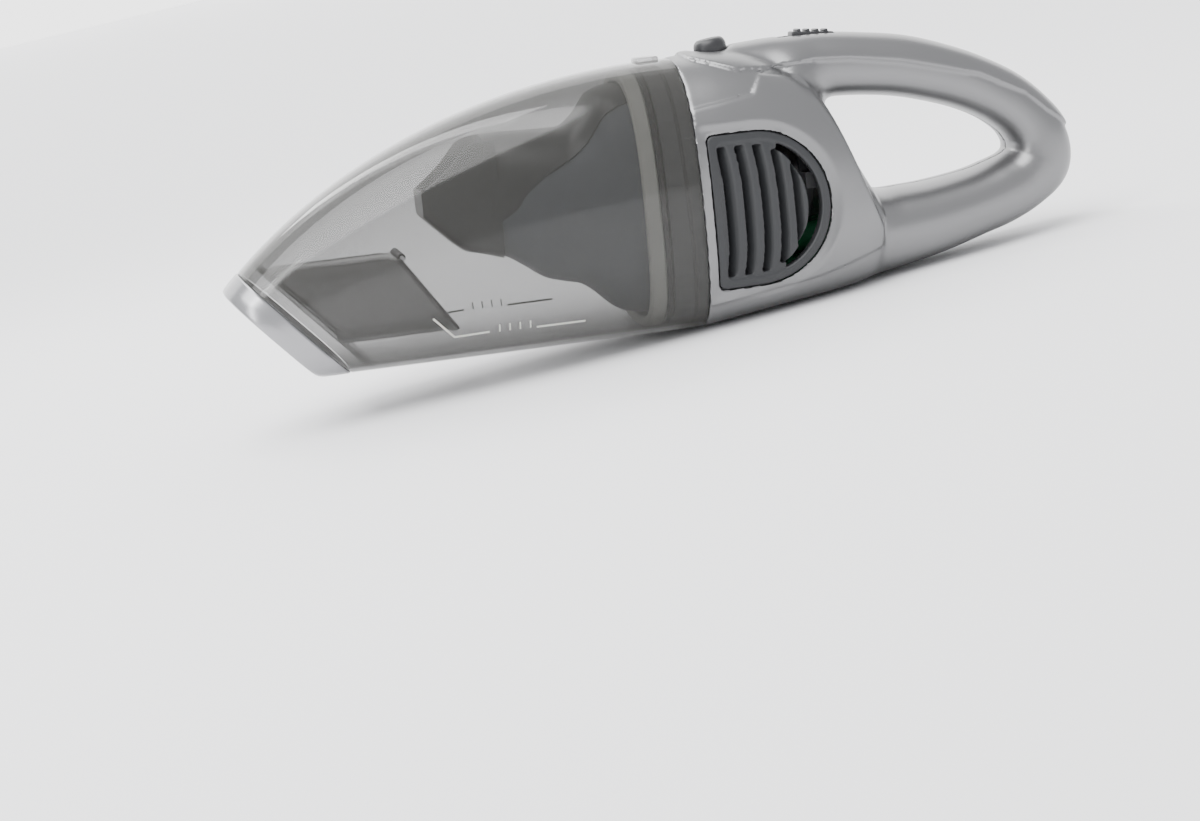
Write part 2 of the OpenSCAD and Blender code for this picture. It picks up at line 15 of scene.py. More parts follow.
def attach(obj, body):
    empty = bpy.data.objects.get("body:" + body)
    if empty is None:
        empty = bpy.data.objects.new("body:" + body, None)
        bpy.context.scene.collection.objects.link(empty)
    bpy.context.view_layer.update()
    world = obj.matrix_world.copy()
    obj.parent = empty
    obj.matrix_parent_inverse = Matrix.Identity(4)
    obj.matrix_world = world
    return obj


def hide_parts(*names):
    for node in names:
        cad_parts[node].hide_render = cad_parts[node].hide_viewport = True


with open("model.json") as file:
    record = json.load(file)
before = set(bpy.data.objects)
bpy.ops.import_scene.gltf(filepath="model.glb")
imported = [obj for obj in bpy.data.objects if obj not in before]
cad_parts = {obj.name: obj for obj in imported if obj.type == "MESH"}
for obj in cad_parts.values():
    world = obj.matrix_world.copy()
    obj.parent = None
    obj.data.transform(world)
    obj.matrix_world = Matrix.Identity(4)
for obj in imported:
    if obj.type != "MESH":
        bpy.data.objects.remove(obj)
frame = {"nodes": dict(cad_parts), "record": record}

bl_info = {
    "name": "Cordless hand vacuum",
    "version": (1, 0, 0),
    "blender": (4, 5, 0),
    "location": "View3D > Sidebar > Hand vacuum",
    "description": "Builds the looks of a cordless hand vacuum around its CAD frame",
    "category": "Object",
}

MM = 0.001
JOINT_X = 5.0
PITCH = math.radians(7.5)
COS_P, SIN_P = math.cos(PITCH), math.sin(PITCH)
HALF_W = 51.0
JOINT_H = 134.0
TANK_FLOOR = 174.0
MOUTH_ANGLE = math.radians(48.0)
VENT_X, VENT_Z, VENT_H, VENT_L = 5.5, 21.0, 76.0, 61.0
SHELL_T = 2.4
TANK_T = 2.2
RIM_DEPTH = 12.5
BUTTON_X = 46.0
ROOF_SLOPE = math.radians(13.0)
ROOF_X, ROOF_Z = 95.0, 126.6
LAMP_X = 125.0
JACK_Z = 42.0
DUCT_LOW, DUCT_HIGH, DUCT_HALF, DUCT_T = 15.0, 52.6, 21.8, 1.8
DUCT_LOW_X, DUCT_LEAN_RUN = -121.0, 25.0
FLAP_PIN = (-144, 53.2)
CAMERA_BACK, CAMERA_RIGHT, CAMERA_UP = 1206.030151, 31.155779, 110.80402
TOP_N, LOW_N = 2.5, 3.2


# ---------- small helpers ----------
def to_row(x, z):
    """A point of the intake frame, in the row frame."""
    return JOINT_X + x * COS_P + z * SIN_P, z * COS_P - x * SIN_P


def to_intake(x, z):
    """A point of the row frame, in the intake frame."""
    dx = x - JOINT_X
    return dx * COS_P - z * SIN_P, dx * SIN_P + z * COS_P


def deselect():
    """Leave nothing selected."""
    bpy.ops.object.select_all(action="DESELECT")


def choose(obj):
    """Make one object the only selected and active one."""
    deselect()
    obj.select_set(True)
    bpy.context.view_layer.objects.active = obj


def mesh_piece(name, points, faces, smooth=True):
    """A mesh object from points in millimetres of the row frame."""
    mesh = bpy.data.meshes.new(name)
    corners = [tuple(c * MM for c in p) for p in points]
    mesh.from_pydata(corners, [], [tuple(int(i) for i in f) for f in faces])
    mesh.validate()
    obj = bpy.data.objects.new(name, mesh)
    bpy.context.collection.objects.link(obj)
    if smooth:
        mesh.polygons.foreach_set("use_smooth", [True] * len(mesh.polygons))
    return obj


def outward(obj):
    """Merge doubles and turn the faces outwards."""
    choose(obj)
    bpy.ops.object.mode_set(mode="EDIT")
    bpy.ops.mesh.select_all(action="SELECT")
    bpy.ops.mesh.remove_doubles(threshold=1e-6)
    bpy.ops.mesh.normals_make_consistent(inside=False)
    bpy.ops.object.mode_set(mode="OBJECT")


def apply_modifier(obj, kind, **settings):
    """Add one modifier to a piece and apply it."""
    choose(obj)
    mod = obj.modifiers.new(kind.lower(), kind)
    for key, value in settings.items():
        setattr(mod, key, value)
    bpy.ops.object.modifier_apply(modifier=mod.name)


def shade(obj, angle=35.0):
    """Smooth shading with edges sharper than the angle kept crisp."""
    choose(obj)
    bpy.ops.object.shade_smooth_by_angle(angle=math.radians(angle))


def settle(obj):
    """Put a piece's place into its mesh."""
    choose(obj)
    bpy.ops.object.transform_apply(location=True, rotation=True, scale=True)


def block(name, size, place, turn=0.0, bevel=0.6, segments=3):
    """A bevelled block: size and middle in millimetres, turned about Y in radians."""
    deselect()
    bpy.ops.mesh.primitive_cube_add(size=1.0, location=[c * MM for c in place])
    obj = bpy.context.object
    obj.name = name
    obj.scale = [c * MM for c in size]
    obj.rotation_euler = (0.0, turn, 0.0)
    settle(obj)
    if bevel:
        apply_modifier(obj, "BEVEL", width=bevel * MM, segments=segments, limit_method="ANGLE")
    shade(obj)
    return obj


def join(name, parts):
    """Join several meshes into one piece."""
    deselect()
    for part in parts:
        part.select_set(True)
    bpy.context.view_layer.objects.active = parts[0]
    if len(parts) > 1:
        bpy.ops.object.join()
    obj = bpy.context.object
    obj.name = name
    obj.data.name = name
    return obj


def finish_piece(obj, body, slot, material, *nodes):
    """Material, body and the CAD nodes that a piece stands for; the slot argument is not used."""
    obj.data.materials.clear()
    obj.data.materials.append(material)
    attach(obj, body)
    if nodes:
        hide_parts(*nodes)
    return obj


# ---------- lofts ----------
def superellipse(w, h, m, count, top_n=TOP_N, low_n=LOW_N):
    """Section points (y, v): half width w, height h, widest at share m of the height."""
    a = np.linspace(0.0, 2.0 * math.pi, count, endpoint=False)
    s, c = np.sin(a), np.cos(a)
    n = np.where(s < 0, low_n, top_n)
    r = np.where(s < 0, m * h, (1 - m) * h)
    y = w * np.sign(c) * np.abs(c) ** (2 / n)
    v = m * h + r * np.sign(s) * np.abs(s) ** (2 / n)
    return np.stack([y, v], 1)


def station_ring(foot, top, w, m, inset=0.0, count=96, top_n=TOP_N, low_n=LOW_N):
    """A ring on the line from foot to top, both (x, z) in the intake frame."""
    foot, top = np.array(foot, float), np.array(top, float)
    h = np.linalg.norm(top - foot)
    u = (top - foot) / h
    sec = superellipse(w - inset, h - 2 * inset, m, count, top_n, low_n)
    ring = []
    for y, v in sec:
        x, z = foot + u * (v + inset)
        rx, rz = to_row(x, z)
        ring.append((rx, y, rz))
    return ring


def skin(rings, close_first=False, close_last=False, loop=False):
    """Points and faces through rings of equal length."""
    n = len(rings[0])
    points = [p for ring in rings for p in ring]
    faces = []
    spans = len(rings) if loop else len(rings) - 1
    for i in range(spans):
        a, b = i * n, ((i + 1) % len(rings)) * n
        for k in range(n):
            j = (k + 1) % n
            faces.append((a + k, a + j, b + j, b + k))
    if close_first:
        faces.append(tuple(range(n - 1, -1, -1)))
    if close_last:
        faces.append(tuple((len(rings) - 1) * n + k for k in range(n)))
    return points, faces


def loft_piece(name, rings, close=False, loop=False, angle=35.0):
    """A shaded piece through rings of equal length."""
    points, faces = skin(rings, close, close, loop)
    obj = mesh_piece(name, points, faces)
    outward(obj)
    shade(obj, angle)
    return obj


def bez(p, t):
    """A point of a cubic Bezier curve."""
    return (p[0] * (1 - t) ** 3 + 3 * p[1] * (1 - t) ** 2 * t
            + 3 * p[2] * (1 - t) * t * t + p[3] * t ** 3)


TANK_TOP = np.array([[0, JOINT_H], [0.546 * TANK_FLOOR, JOINT_H + 1],
                     [1.092 * TANK_FLOOR, 0.73 * JOINT_H], [1.408 * TANK_FLOOR, 0.224 * JOINT_H]])
TANK_W = (HALF_W, HALF_W + 1.5, HALF_W - 5, 28.0)


def meet(foot):
    """Share of the top curve where the plane through foot at the nozzle angle meets it."""
    lo, hi = 0.5, 1.0
    for _ in range(24):
        t = (lo + hi) / 2
        x, z = bez(TANK_TOP, t)
        if x - z / math.tan(MOUTH_ANGLE) < foot:
            lo = t
        else:
            hi = t
    return lo


T_RIM = meet(TANK_FLOOR)


def tank_ring(foot, t, inset=0.0, count=112):
    """A ring of the tank, from its floor at foot to its top curve at t."""
    x, z = bez(TANK_TOP, t)
    return station_ring((-foot, 0.0), (-x, z), bez(TANK_W, t), 0.43 + (0.38 - 0.43) * t, inset, count)


def plate_ring(inset, x, count=96):
    """A ring of the joint section, at x of the intake frame."""
    return station_ring((x, 0.0), (x, JOINT_H), HALF_W, 0.43, inset, count)


# ---------- materials ----------
def nodes_of(material):
    material.use_nodes = True
    return material.node_tree.nodes, material.node_tree.links


def grain_group():
    """Fine moulded grain: Object coordinates in, a height and a mask out."""
    if "FineGrain" in bpy.data.node_groups:
        return bpy.data.node_groups["FineGrain"]
    group = bpy.data.node_groups.new("FineGrain", "ShaderNodeTree")
    face = group.interface
    face.new_socket("Scale", in_out="INPUT", socket_type="NodeSocketFloat").default_value = 900.0
    face.new_socket("Height", in_out="OUTPUT", socket_type="NodeSocketFloat")
    face.new_socket("Mask", in_out="OUTPUT", socket_type="NodeSocketFloat")
    n, l = group.nodes, group.links
    gin, gout = n.new("NodeGroupInput"), n.new("NodeGroupOutput")
    coord = n.new("ShaderNodeTexCoord")
    fine = n.new("ShaderNodeTexNoise")
    fine.inputs["Detail"].default_value = 3.0
    broad = n.new("ShaderNodeTexNoise")
    broad.inputs["Scale"].default_value = 14.0
    broad.inputs["Detail"].default_value = 4.0
    l.new(coord.outputs["Object"], fine.inputs["Vector"])
    l.new(coord.outputs["Object"], broad.inputs["Vector"])
    l.new(gin.outputs["Scale"], fine.inputs["Scale"])
    l.new(fine.outputs["Fac"], gout.inputs["Height"])
    l.new(broad.outputs["Fac"], gout.inputs["Mask"])
    return group


def plastic(name, color, rough, grain=0.0, scale=900.0, vary=0.04, metallic=0.0, spec=0.5, coat=0.0):
    """A moulded or painted finish with fine grain and slightly uneven gloss."""
    mat = bpy.data.materials.new(name)
    n, l = nodes_of(mat)
    bsdf = n["Principled BSDF"]
    bsdf.inputs["Metallic"].default_value = metallic
    bsdf.inputs["Specular IOR Level"].default_value = spec
    bsdf.inputs["Coat Weight"].default_value = coat
    bsdf.inputs["Coat Roughness"].default_value = 0.15
    group = n.new("ShaderNodeGroup")
    group.node_tree = grain_group()
    group.inputs["Scale"].default_value = scale
    ramp = n.new("ShaderNodeMapRange")
    ramp.inputs["To Min"].default_value = rough - vary
    ramp.inputs["To Max"].default_value = rough + vary
    l.new(group.outputs["Mask"], ramp.inputs["Value"])
    l.new(ramp.outputs["Result"], bsdf.inputs["Roughness"])
    tint = n.new("ShaderNodeMix")
    tint.data_type = "RGBA"
    tint.inputs["A"].default_value = (*[c * 0.97 for c in color[:3]], 1)
    tint.inputs["B"].default_value = (*[min(1.0, c * 1.03) for c in color[:3]], 1)
    l.new(group.outputs["Mask"], tint.inputs["Factor"])
    l.new(tint.outputs["Result"], bsdf.inputs["Base Color"])
    if grain:
        bump = n.new("ShaderNodeBump")
        bump.inputs["Strength"].default_value = grain
        bump.inputs["Distance"].default_value = 0.0001
        l.new(group.outputs["Height"], bump.inputs["Height"])
        l.new(bump.outputs["Normal"], bsdf.inputs["Normal"])
    return mat


def smoked(name, color, rough, low, high):
    """Clear tinted plastic: it lets more through face on than at its edges."""
    mat = plastic(name, color, rough, vary=0.02, spec=0.6)
    n, l = nodes_of(mat)
    bsdf = n["Principled BSDF"]
    weight = n.new("ShaderNodeLayerWeight")
    weight.inputs["Blend"].default_value = 0.35
    span = n.new("ShaderNodeMapRange")
    span.inputs["To Min"].default_value = low
    span.inputs["To Max"].default_value = high
    l.new(weight.outputs["Facing"], span.inputs["Value"])
    l.new(span.outputs["Result"], bsdf.inputs["Alpha"])
    return mat


def make_materials(props):
    """All the materials, by slot."""
    silver = tuple(props.shell_color)
    smoke = tuple(props.tank_color)
    return {
        "shell_silver": plastic("SatinSilver", silver, 0.33, 0.12, 3000.0, 0.03, metallic=0.85),
        "rim_silver": plastic("BrightSilver", (0.30, 0.30, 0.31), 0.25, 0.08, 3000.0, 0.03, metallic=0.75),
        "vent_charcoal": plastic("CharcoalVent", (0.016, 0.017, 0.019), 0.5, 0.2, 2500.0),
        "button_charcoal": plastic("CharcoalButton", (0.017, 0.017, 0.019), 0.42, 0.15, 2500.0),
        "inner_grey": plastic("MouldedGrey", (0.07, 0.07, 0.074), 0.55, 0.12, 2500.0),
        "clear_smoke": smoked("SmokedClear", smoke, 0.08, 0.34, 0.88),
        "duct_smoke": smoked("SmokedDuct", (0.018, 0.017, 0.015), 0.22, 0.42, 0.85),
        "flap_rubber": plastic("BlackRubber", (0.012, 0.012, 0.013), 0.6, 0.3),
        "seal_milky": plastic("MilkySeal", (0.46, 0.46, 0.42), 0.45, 0.2),
        "filter_dark": plastic("FilterDark", (0.012, 0.012, 0.014), 0.32, 0.05, 3000.0),
        "filter_fabric": plastic("FilterCloth", (0.085, 0.092, 0.108), 0.55, 0.1, 3000.0, spec=0.35),
        "steel": plastic("PlainSteel", (0.55, 0.55, 0.56), 0.3, 0.1, metallic=1.0),
        "copper_can": plastic("DrawnCan", (0.5, 0.5, 0.51), 0.35, 0.1, metallic=1.0),
        "fan_white": plastic("FanNylon", (0.7, 0.7, 0.67), 0.5, 0.2),
        "cell_green": plastic("CellSleeve", (0.03, 0.18, 0.08), 0.25, 0.1),
        "board_green": plastic("BoardGreen", (0.015, 0.12, 0.045), 0.4, 0.2),
        "boot_rubber": plastic("MotorBoot", (0.02, 0.02, 0.02), 0.7, 0.3),
        "socket_black": plastic("SocketBlack", (0.015, 0.015, 0.016), 0.4, 0.2),
        "lamp_red": plastic("LampRed", (0.12, 0.01, 0.01), 0.15, 0.0, spec=0.7),
    }


_mats = {}


def material(slot):
    """The material of a slot, made on first use."""
    if not _mats:
        _mats.update(make_materials(bpy.context.scene.hand_vacuum))
    return _mats[slot]


# ---------- body shells: a distance field skinned with smooth cells ----------
POD = np.array([
    [5.0, -0.6, 22.49, 132.85, 51.0, 0.43], [30, -0.6, 40, 131, 51.0, 0.43],
    [56, -0.6, 56, 127, 49.5, 0.44], [80, -0.6, 71, 120, 46.0, 0.45],
    [98, 1.4, 81, 112, 42.0, 0.47], [108, 9, 86, 106, 39.0, 0.5]])
LOOP = np.array([
    [8, 117.4, 15.8, 16], [34, 116.2, 16.2, 16.5], [56, 114.4, 16, 17.5], [76, 113, 15.8, 18],
    [100, 110, 15.5, 18], [121, 105.4, 15, 18], [141, 99.3, 14.8, 18], [162, 89.6, 14.2, 18],
    [177, 80.6, 13.8, 18],
    [189, 71, 13.8, 19], [198, 60, 14, 20], [203, 48, 15.5, 21], [201, 36, 17, 21.5],
    [191, 29, 16.5, 22], [177, 25.2, 17, 24.4], [162, 23.2, 17.2, 26.4], [139, 21.6, 18.8, 28.8],
    [115, 21.6, 20.6, 30.5], [88, 21.2, 21.6, 32]], float)
WEB = np.array([[80, 108, 12, 24], [84, 84, 12, 29], [90, 62, 12, 31], [97, 40, 13, 31],
                [104, 24, 14, 29]], float)
SPINE_EDGE = [(27, 137), (31, 131), (49, 121.5), (65, 118), (90, 116), (110, 112), (136, 104), (175, 88),
              (197, 73), (206, 62), (230, 40)]
POD_SIDE = [(-20, -30), (100, -30), (104.5, 8), (106.8, 22), (107.6, 33), (106.6, 50), (98.4, 76), (90.5, 99),
            (84, 111), (76, 124), (66, 150), (-20, 150)]
SHIELD = [(-20, 13), (66, 14), (82, 16), (102, 19), (107.5, 33), (106.5, 50), (98, 76), (90, 99),
          (81, 111), (67, 115), (60, 117), (52, 109), (22, 109), (-20, 109)]


def catmull(rows, per):
    """A smooth curve through rows of numbers."""
    rows = np.array(rows, float)
    pad = np.vstack([2 * rows[0] - rows[1], rows, 2 * rows[-1] - rows[-2]])
    out = []
    for i in range(1, len(pad) - 2):
        p0, p1, p2, p3 = pad[i - 1], pad[i], pad[i + 1], pad[i + 2]
        for t in np.linspace(0, 1, per, endpoint=False):
            out.append(0.5 * (2 * p1 + (p2 - p0) * t + (2 * p0 - 5 * p1 + 4 * p2 - p3) * t * t
                              + (3 * p1 - p0 - 3 * p2 + p3) * t ** 3))
    out.append(rows[-1])
    return np.array(out)


def smooth_min(a, b, k):
    """Union of two fields with a blend of width k."""
    h = np.clip(0.5 + 0.5 * (b - a) / k, 0, 1)
    return b * (1 - h) + a * h - k * h * (1 - h)


def smooth_max(a, b, k):
    """Intersection of two fields with a blend of width k."""
    return -smooth_min(-a, -b, k)


def step(v, half):
    """Smooth step from 0 to 1 as v goes from -half to half."""
    t = np.clip(0.5 + v / (2 * half), 0, 1)
    return t * t * (3 - 2 * t)


def line_side(px, pz, line):
    """Signed distance of 2-D points to an open line, positive on its left when walking back."""
    best = np.full(px.shape, 1e9)
    sign = np.ones(px.shape)
    for (ax, az), (bx, bz) in zip(line[:-1], line[1:]):
        dx, dz = bx - ax, bz - az
        t = np.clip(((px - ax) * dx + (pz - az) * dz) / (dx * dx + dz * dz), 0, 1)
        d = np.hypot(px - ax - t * dx, pz - az - t * dz)
        near = d < best
        best = np.where(near, d, best)
        sign = np.where(near, np.sign(dx * (pz - az) - dz * (px - ax)), sign)
    return best * sign


def polygon_side(px, pz, poly):
    """Signed distance of 2-D points to a closed polygon, negative inside."""
    best = np.full(px.shape, 1e9)
    inside = np.zeros(px.shape, bool)
    for (ax, az), (bx, bz) in zip(poly, poly[1:] + poly[:1]):
        dx, dz = bx - ax, bz - az
        t = np.clip(((px - ax) * dx + (pz - az) * dz) / (dx * dx + dz * dz), 0, 1)
        best = np.minimum(best, np.hypot(px - ax - t * dx, pz - az - t * dz))
        cross = ((az > pz) != (bz > pz)) & (px < (bx - ax) * (pz - az) / (bz - az + 1e-12) + ax)
        inside ^= cross
    return np.where(inside, -best, best)


def rounded_d(x, z, grow=0.0):
    """Signed distance to the vent outline in the intake frame, negative inside."""
    r = VENT_H / 2
    zc = VENT_Z + r
    xc = VENT_X + VENT_L - r
    bowl = np.where(x > xc, np.hypot(x - xc, z - zc), np.abs(z - zc)) - r
    return smooth_max(bowl, VENT_X - x, 4.0) - grow


def normalised(value, h):
    """Turn a field into a near distance by dividing by its slope."""
    gx, gy, gz = np.gradient(value, h)
    return value / np.maximum(np.sqrt(gx * gx + gy * gy + gz * gz), 1e-4)


def pod_field(X, Y, Z, h):
    """The motor pod, from its tilted stations."""
    curve = catmull(POD, 12)
    fx, fz, tx, tz = curve[:, 0], curve[:, 1], curve[:, 2], curve[:, 3]
    t_all = np.arange(len(curve), dtype=float)
    xs, zs = X[:, 0, 0], Z[0, 0, :]
    T = np.zeros((len(xs), len(zs)))
    rear = np.zeros_like(T)
    for k, z in enumerate(zs):
        line_x = fx + (tx - fx) * (z - fz) / (tz - fz)
        T[:, k] = np.interp(xs, line_x, t_all)
        rear[:, k] = xs - line_x[-1]
    at = [np.interp(T, t_all, curve[:, c]) for c in range(6)]
    length = np.hypot(at[2] - at[0], at[3] - at[1])
    zz = np.broadcast_to(zs[None, :], T.shape)
    v = (zz - at[1]) * length / (at[3] - at[1])
    m = at[5]
    mid = m * length
    up = v > mid
    r = np.where(up, (1 - m) * length, m * length)
    q = np.abs(v - mid) / r
    n = np.where(up, TOP_N, LOW_N)
    w = at[4]
    u = np.abs(Y[0, :, 0])
    F = ((u[None, :, None] / w[:, None, :]) ** n[:, None, :] + (q ** n)[:, None, :])
    F = F ** (1 / n)[:, None, :] - 1
    D = normalised(F, h)
    return smooth_max(D, rear[:, None, :] + 0 * D, 3.0)


def chain_field(X, Y, Z, rows, h, power=2.4):
    """A handle bead, from its centre line."""
    curve = catmull(rows, 14)
    xs, zs = X[:, 0, 0], Z[0, 0, :]
    px, pz = np.meshgrid(xs, zs, indexing="ij")
    d = np.diff(curve[:, :2], axis=0)
    best = np.full(px.shape, 1e9)
    half_h, half_w, off = np.ones(px.shape), np.ones(px.shape), np.full(px.shape, 1e3)
    for i in range(len(d)):
        a, dx, dz = curve[i], d[i, 0], d[i, 1]
        t = np.clip(((px - a[0]) * dx + (pz - a[1]) * dz) / (dx * dx + dz * dz), 0, 1)
        dist = np.hypot(px - a[0] - t * dx, pz - a[1] - t * dz)
        hh = a[2] + t * (curve[i + 1, 2] - a[2])
        ww = a[3] + t * (curve[i + 1, 3] - a[3])
        near = dist / hh < best
        best = np.where(near, dist / hh, best)
        half_h, half_w = np.where(near, hh, half_h), np.where(near, ww, half_w)
        off = np.where(near, dist, off)
    u = np.abs(Y[0, :, 0])
    F = (u[None, :, None] / half_w[:, None, :]) ** power + ((off / half_h) ** power)[:, None, :]
    return normalised(F ** (1 / power) - 1, h)


def body_field(h):
    """Signed distance of the left shell's wall on a grid, with the grid's start."""
    x = np.arange(0.0, 222.0, h)
    y = np.arange(-54.0 + 0.5 * h, 2.0, h)
    z = np.arange(-2.5 * h, 138.0, h)
    X, Y, Z = np.meshgrid(x, y, z, indexing="ij")
    px, pz = X[:, 0, :], Z[:, 0, :]
    ix, iz = to_intake(px, pz)

    def flat(a):
        return a[:, None, :]

    pod = smooth_max(pod_field(X, Y, Z, h), flat(polygon_side(px, pz, POD_SIDE)) + 0 * X, 3.5)
    loop = chain_field(X, Y, Z, LOOP, h)
    web = chain_field(X, Y, Z, WEB, h)
    D = smooth_min(pod, smooth_min(loop, web, 9.0), 1.6)
    # raised and sunken regions of the skin
    spine = flat(step(line_side(px, pz, SPINE_EDGE), 0.9))
    shield = flat(step(-polygon_side(px, pz, SHIELD), 0.9))
    recess = flat(step(-(rounded_d(ix, iz) - 3.6), 2.6))
    outer = np.where(np.abs(Y) > 24.0, 1.0, np.clip((np.abs(Y) - 14.0) / 10.0, 0, 1))
    D = D - 1.5 * spine - 1.2 * shield * outer + 1.7 * recess * outer
    # the dish round the button and the belly
    dish = np.hypot(X - BUTTON_X, Y) - 11.0
    D = D + 0.7 * step(-dish, 1.6) * (Z > 100)
    D = smooth_max(D, -Z, 3.0)
    wall = smooth_max(D, -(D + SHELL_T), 0.6)
    # openings
    wall = smooth_max(wall, 0.3 - flat(ix), 1.3)
    vent = flat(rounded_d(ix, iz))
    vent = np.where(Y < -18, vent, 50.0)
    wall = smooth_max(wall, -vent, 1.0)
    button = np.hypot(X - BUTTON_X, Y) - 8.9
    wall = smooth_max(wall, -np.where(Z > 112, button, 50.0), 0.8)
    sx = (X - ROOF_X) * math.cos(ROOF_SLOPE) - (Z - ROOF_Z) * math.sin(ROOF_SLOPE)
    slot = np.maximum(np.abs(sx) - 14.9, np.abs(Y) - 5.0)
    wall = smooth_max(wall, -np.where(Z > 112, slot, 50.0), 0.7)
    lamp = np.hypot(X - LAMP_X, Y) - 1.8
    wall = smooth_max(wall, -np.where(Z > 106, lamp, 50.0), 0.3)
    jack = np.hypot(Y, Z - JACK_Z) - 4.9
    wall = smooth_max(wall, -np.where(X > 200, jack, 50.0), 0.6)
    wall = smooth_max(wall, Y + 0.16, 0.5)
    return wall, np.array([x[0], y[0], z[0]])


def sample(field, start, h, p):
    """Trilinear value and slope of a field at points p."""
    g = (p - start) / h
    i = np.clip(np.floor(g).astype(int), 0, np.array(field.shape) - 2)
    f = g - i
    c = {}
    for a in (0, 1):
        for b in (0, 1):
            for d in (0, 1):
                c[a, b, d] = field[i[:, 0] + a, i[:, 1] + b, i[:, 2] + d]
    fx, fy, fz = f[:, 0], f[:, 1], f[:, 2]

    def mix(a, b, t):
        return a + (b - a) * t

    x0 = {(b, d): mix(c[0, b, d], c[1, b, d], fx) for b in (0, 1) for d in (0, 1)}
    y0 = {d: mix(x0[0, d], x0[1, d], fy) for d in (0, 1)}
    value = mix(y0[0], y0[1], fz)
    gx = mix(mix(c[1, 0, 0] - c[0, 0, 0], c[1, 1, 0] - c[0, 1, 0], fy),
             mix(c[1, 0, 1] - c[0, 0, 1], c[1, 1, 1] - c[0, 1, 1], fy), fz)
    gy = mix(x0[1, 0] - x0[0, 0], x0[1, 1] - x0[0, 1], fz)
    gz = y0[1] - y0[0]
    return value, np.stack([gx, gy, gz], 1) / h


def skin_field(name, field, start, h, flip=False, passes=4):
    """A smooth quad mesh on the zero surface of a field."""
    inside = field < 0
    nx, ny, nz = field.shape
    cell = np.zeros((nx - 1, ny - 1, nz - 1), int)
    for a in (0, 1):
        for b in (0, 1):
            for d in (0, 1):
                cell += inside[a:nx - 1 + a, b:ny - 1 + b, d:nz - 1 + d]
    live = (cell > 0) & (cell < 8)
    index = -np.ones(cell.shape, int)
    index[live] = np.arange(live.sum())
    total = np.zeros((live.sum(), 3))
    count = np.zeros(live.sum())
    cells = np.argwhere(live)
    corners = [(a, b, d) for a in (0, 1) for b in (0, 1) for d in (0, 1)]
    for p in corners:
        for axis in range(3):
            if p[axis]:
                continue
            q = list(p)
            q[axis] = 1
            va = field[cells[:, 0] + p[0], cells[:, 1] + p[1], cells[:, 2] + p[2]]
            vb = field[cells[:, 0] + q[0], cells[:, 1] + q[1], cells[:, 2] + q[2]]
            cut = (va < 0) != (vb < 0)
            t = va / np.where(cut, va - vb, 1.0)
            pos = np.array(p, float)[None, :] + 0 * total
            pos[:, axis] += t
            total[cut] += pos[cut]
            count[cut] += 1
    points = (cells + total / count[:, None]) * h + start
    faces = []
    for axis in range(3):
        u, v = (axis + 1) % 3, (axis + 2) % 3
        lo = [slice(None)] * 3
        hi = [slice(None)] * 3
        lo[axis], hi[axis] = slice(0, -1), slice(1, None)
        cross = inside[tuple(lo)] != inside[tuple(hi)]
        edges = np.argwhere(cross)
        ok = (edges[:, u] > 0) & (edges[:, v] > 0)
        ok &= (edges[:, u] < field.shape[u] - 1) & (edges[:, v] < field.shape[v] - 1)
        edges = edges[ok]
        quad = []
        for du, dv in ((-1, -1), (0, -1), (0, 0), (-1, 0)):
            e = edges.copy()
            e[:, u] += du
            e[:, v] += dv
            quad.append(index[e[:, 0], e[:, 1], e[:, 2]])
        quad = np.stack(quad, 1)
        first_in = inside[edges[:, 0], edges[:, 1], edges[:, 2]]
        quad[~first_in] = quad[~first_in][:, ::-1]
        faces.append(quad)
    faces = np.concatenate(faces)
    for _ in range(passes):
        value, slope = sample(field, start, h, points)
        size = np.maximum((slope ** 2).sum(1), 0.05)
        move = -(value / size)[:, None] * slope
        far = np.linalg.norm(move, axis=1)
        move *= (np.minimum(far, 0.35 * h) / np.maximum(far, 1e-9))[:, None]
        points = points + move
    if flip:
        points = points * np.array([1.0, -1.0, 1.0])
        faces = faces[:, ::-1]
    return mesh_piece(name, points, faces)


def tidy_skin(obj, angle=40.0):
    """Merge collapsed cells of a skinned field and shade it."""
    choose(obj)
    bpy.ops.object.mode_set(mode="EDIT")
    bpy.ops.mesh.select_all(action="SELECT")
    bpy.ops.mesh.remove_doubles(threshold=2e-5)
    bpy.ops.object.mode_set(mode="OBJECT")
    shade(obj, angle)
    return obj


def grille_field(h):
    """The left vent grille: a rounded frame, five upright louvre slots and a curved one."""
    x = np.arange(4.0, 86.0, h)
    y = np.arange(-53.0, -34.0, h)
    z = np.arange(6.0, 108.0, h)
    X, Y, Z = np.meshgrid(x, y, z, indexing="ij")
    ix, iz = to_intake(X, Z)
    D = pod_field(X, Y, Z, h)
    edge = rounded_d(ix, iz)
    face = D + 2.0 - 0.9 * step(edge + 4.6, 0.7)
    body = smooth_max(face, -(D + 7.6), 0.5)
    body = smooth_max(body, edge + 0.35, 0.8)
    r = VENT_H / 2
    zc, xc = VENT_Z + r, VENT_X + VENT_L - r
    lean = -0.95 * (Y + 48.0)
    for i in range(5):
        at = VENT_X + 8.6 + i * 9.3
        past = max(0.0, at + 1.5 - xc)
        half = min(r - 6.2, math.sqrt(max((r - 6.4) ** 2 - past ** 2, 25.0)))
        slot = smooth_max(np.abs(ix - at - lean) - 2.7, np.abs(iz - zc) - half, 1.5)
        body = smooth_max(body, -slot, 0.6)
    dist = np.hypot(ix - xc, iz - zc)
    inner = np.hypot(ix - xc + 9.0, iz - zc) - (r - 3.2)
    crescent = smooth_max(dist - (r - 5.2), -inner, 1.0)
    crescent = np.maximum(crescent, xc + 12.0 - ix)
    body = smooth_max(body, -crescent, 0.5)
    return body, np.array([x[0], y[0], z[0]])


